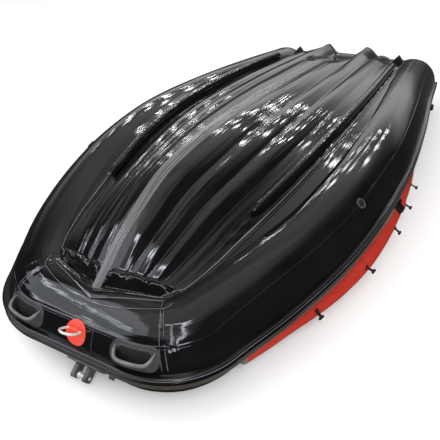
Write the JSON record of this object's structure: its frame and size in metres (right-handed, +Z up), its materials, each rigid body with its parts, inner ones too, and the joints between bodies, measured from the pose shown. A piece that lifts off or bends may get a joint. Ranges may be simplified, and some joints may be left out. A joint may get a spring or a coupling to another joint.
{
  "type": "inflatable boat",
  "caption": "Open inflatable motor boat stored bottom up: air tubes, inflated V bottom with stern tunnel, side bolsters, transom, handles and fittings.",
  "frame": {"origin": "on the floor, under the middle of the boat's bounding box, as it lies bottom up", "axes": "+Z up, away from the floor and towards the keel; +Y towards the stern and transom; +X towards the side that is on the right in the picture"},
  "size_m": [2.1504, 4.208, 0.772],
  "materials": {
    "black_pvc": "glossy PVC-coated fabric",
    "grey_pvc": "ribbed, semi-gloss",
    "red_pvc": "semi-gloss PVC-coated fabric",
    "red_webbing": "woven webbing",
    "black_rubber": "satin",
    "black_plastic": "satin",
    "grey_plastic": "moulded, satin",
    "red_plastic": "gloss",
    "steel": "polished stainless",
    "black_board": "coated plywood, satin"
  },
  "bodies": {
    "boat": {"bow_tube": "black_pvc", "starboard_tube": "black_pvc", "port_tube": "black_pvc", "hull_bottom": "black_pvc", "starboard_chine_tube": "black_pvc", "port_chine_tube": "black_pvc", "keel_strip": "grey_pvc", "bow_rub_strake": "black_rubber", "starboard_rub_strake": "black_rubber", "port_rub_strake": "black_rubber", "starboard_bolster": "red_pvc", "port_bolster": "red_pvc", "transom": "black_board", "outboard_plate_outer": "grey_plastic", "outboard_plate_inner": "grey_plastic", "drain_valve": "grey_plastic", "starboard_transom_knee": "black_rubber", "port_transom_knee": "black_rubber", "starboard_bow_handle": "grey_plastic", "port_bow_handle": "grey_plastic", "tow_patch": "red_pvc", "tow_webbing": "red_webbing", "anchor_bracket": "black_rubber", "starboard_air_valve": "grey_plastic", "port_air_valve": "grey_plastic", "starboard_lift_loop": "black_rubber", "port_lift_loop": "black_rubber", "starboard_rowlock_socket": "black_rubber", "port_rowlock_socket": "black_rubber", "starboard_toggle_1": "black_rubber", "starboard_toggle_2": "black_rubber", "starboard_toggle_3": "black_rubber", "starboard_toggle_4": "black_rubber", "starboard_toggle_5": "black_rubber", "port_toggle_1": "black_rubber", "port_toggle_2": "black_rubber", "port_toggle_3": "black_rubber", "port_toggle_4": "black_rubber", "port_toggle_5": "black_rubber"},
    "ring": {"tow_ring": "steel"},
    "roller": {"anchor_roller": "steel"},
    "starboard_rowlock": {"starboard_rowlock_barrel": "black_plastic", "starboard_rowlock_cap": "red_plastic"},
    "port_rowlock": {"port_rowlock_barrel": "black_plastic", "port_rowlock_cap": "red_plastic"}
  },
  "joints": [
    {"name": "tow_ring_swing", "type": "hinge", "parent": "boat", "child": "ring", "pos_m": [0, -2.04093, 0.33964], "axis": [1, 0, 0], "range_deg": [-80, 80]},
    {"name": "anchor_roller_spin", "type": "hinge", "parent": "boat", "child": "roller", "pos_m": [0, -2.07588, 0.07272], "axis": [1, 0, 0], "continuous": true},
    {"name": "starboard_rowlock_spin", "type": "hinge", "parent": "boat", "child": "starboard_rowlock", "pos_m": [1.02878, -0.33813, 0.2466], "axis": [0.692, -0.0415, 0.7207], "continuous": true},
    {"name": "port_rowlock_spin", "type": "hinge", "parent": "boat", "child": "port_rowlock", "pos_m": [-1.02878, -0.33813, 0.2466], "axis": [-0.692, -0.0415, 0.7207], "continuous": true}
  ]
}
